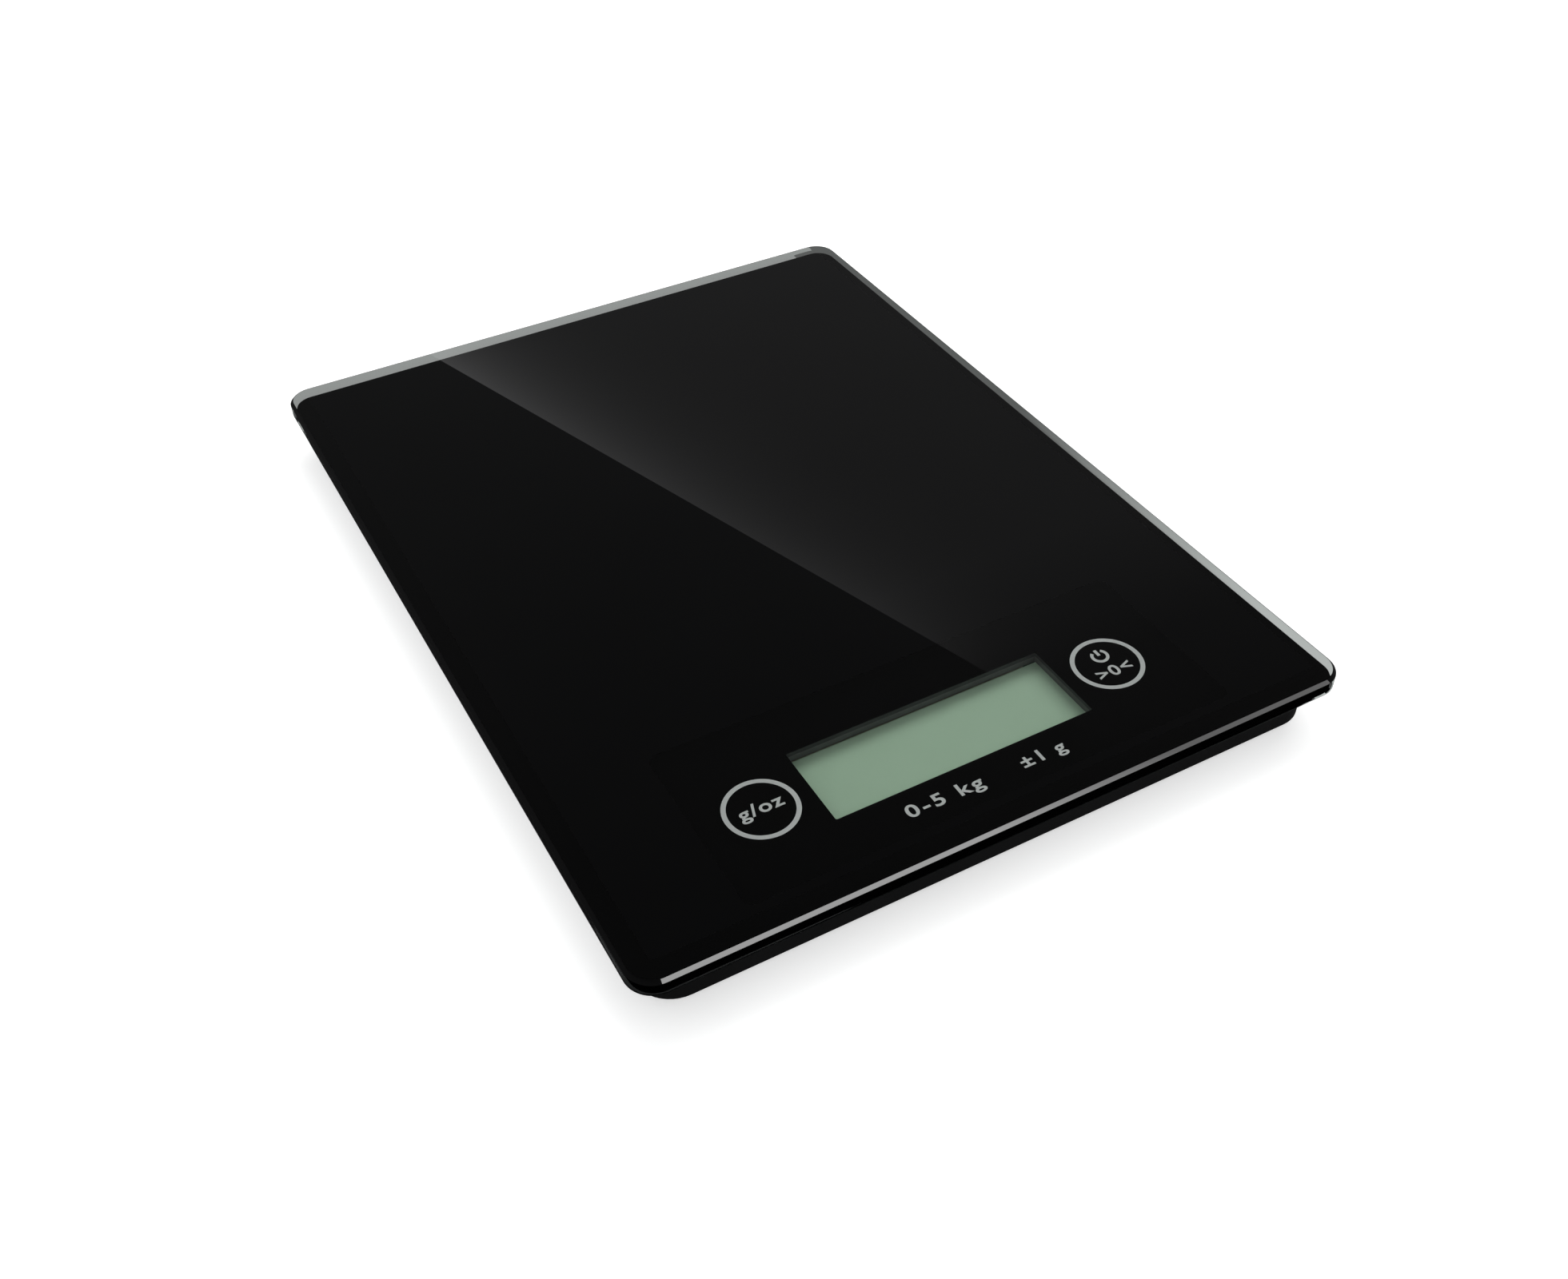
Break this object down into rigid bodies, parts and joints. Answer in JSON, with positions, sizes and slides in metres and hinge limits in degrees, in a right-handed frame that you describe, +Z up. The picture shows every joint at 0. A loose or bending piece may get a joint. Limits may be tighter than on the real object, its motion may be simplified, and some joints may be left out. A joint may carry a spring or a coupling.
{
  "type": "digital kitchen scale",
  "caption": "Slim digital kitchen scale: a black-backed glass platform with round corners, a recessed display window and touch keys, on a plastic body with rubber feet.",
  "frame": {"origin": "on the table, at the centre of the platform's outline", "axes": "+Z up out of the weighing surface, +Y towards the rear edge away from the display, +X to the right as a user facing the display sees it"},
  "size_m": [0.16, 0.215, 0.015],
  "materials": {
    "clear_glass": "clear tempered glass with polished edges",
    "black_print": "black ink fired on the glass's underside",
    "white_print": "white ink under the glass",
    "foam_tape": "black foam tape",
    "body_plastic": "black moulded plastic, fine grain",
    "screw_steel": "zinc plated",
    "cell_steel": "stainless can",
    "contact_metal": "nickel plated strip",
    "board_laminate": "green solder mask",
    "black_epoxy": "cured epoxy drop",
    "part_ceramic": "small ceramic parts",
    "display_plastic": "black moulded plastic",
    "display_glass": "thin flat glass",
    "polariser_film": "grey-green film, satin",
    "reflector_film": "pale satin film",
    "contact_rubber": "layered contact rubber",
    "spring_steel": "bright spring wire",
    "cell_plate_steel": "nickel plated stamped steel",
    "gauge_film": "amber film with foil grid",
    "white_sealant": "soft white silicone",
    "foot_plastic": "black moulded plastic",
    "pad_rubber": "matt rubber",
    "red_insulation": "soft plastic insulation",
    "white_insulation": "soft plastic insulation",
    "black_insulation": "soft plastic insulation",
    "solder": "bright solder"
  },
  "bodies": {
    "scale": {"glass_platform": "clear_glass", "back_print": "black_print", "key_ring_print": "white_print", "bond_tape": "foam_tape", "window_gasket": "foam_tape", "carrier_frame": "body_plastic", "bottom_cover": "body_plastic", "cover_screws": "screw_steel", "coin_cell": "cell_steel", "negative_contact": "contact_metal", "positive_contact": "contact_metal", "circuit_board": "board_laminate", "controller_blob": "black_epoxy", "surface_parts": "part_ceramic", "board_screws": "screw_steel", "display_frame": "display_plastic", "display_front_glass": "display_glass", "display_rear_glass": "display_glass", "display_polariser": "polariser_film", "display_reflector": "reflector_film", "contact_strip": "contact_rubber", "touch_springs": "spring_steel", "load_cell_fl": "cell_plate_steel", "load_cell_fr": "cell_plate_steel", "load_cell_bl": "cell_plate_steel", "load_cell_br": "cell_plate_steel", "strain_gauges": "gauge_film", "gauge_sealant": "white_sealant", "red_leads": "red_insulation", "white_leads": "white_insulation", "black_leads": "black_insulation", "solder_joints": "solder", "foot_fl": "foot_plastic", "foot_fr": "foot_plastic", "foot_bl": "foot_plastic", "foot_br": "foot_plastic", "foot_pad_fl": "pad_rubber", "foot_pad_fr": "pad_rubber", "foot_pad_bl": "pad_rubber", "foot_pad_br": "pad_rubber"},
    "door": {"battery_door": "body_plastic"}
  },
  "joints": [
    {"name": "battery_door_hinge", "type": "hinge", "parent": "scale", "child": "door", "pos_m": [0, 0.0423, 0.003], "axis": [1, 0, 0], "range_deg": [0, 80]}
  ]
}
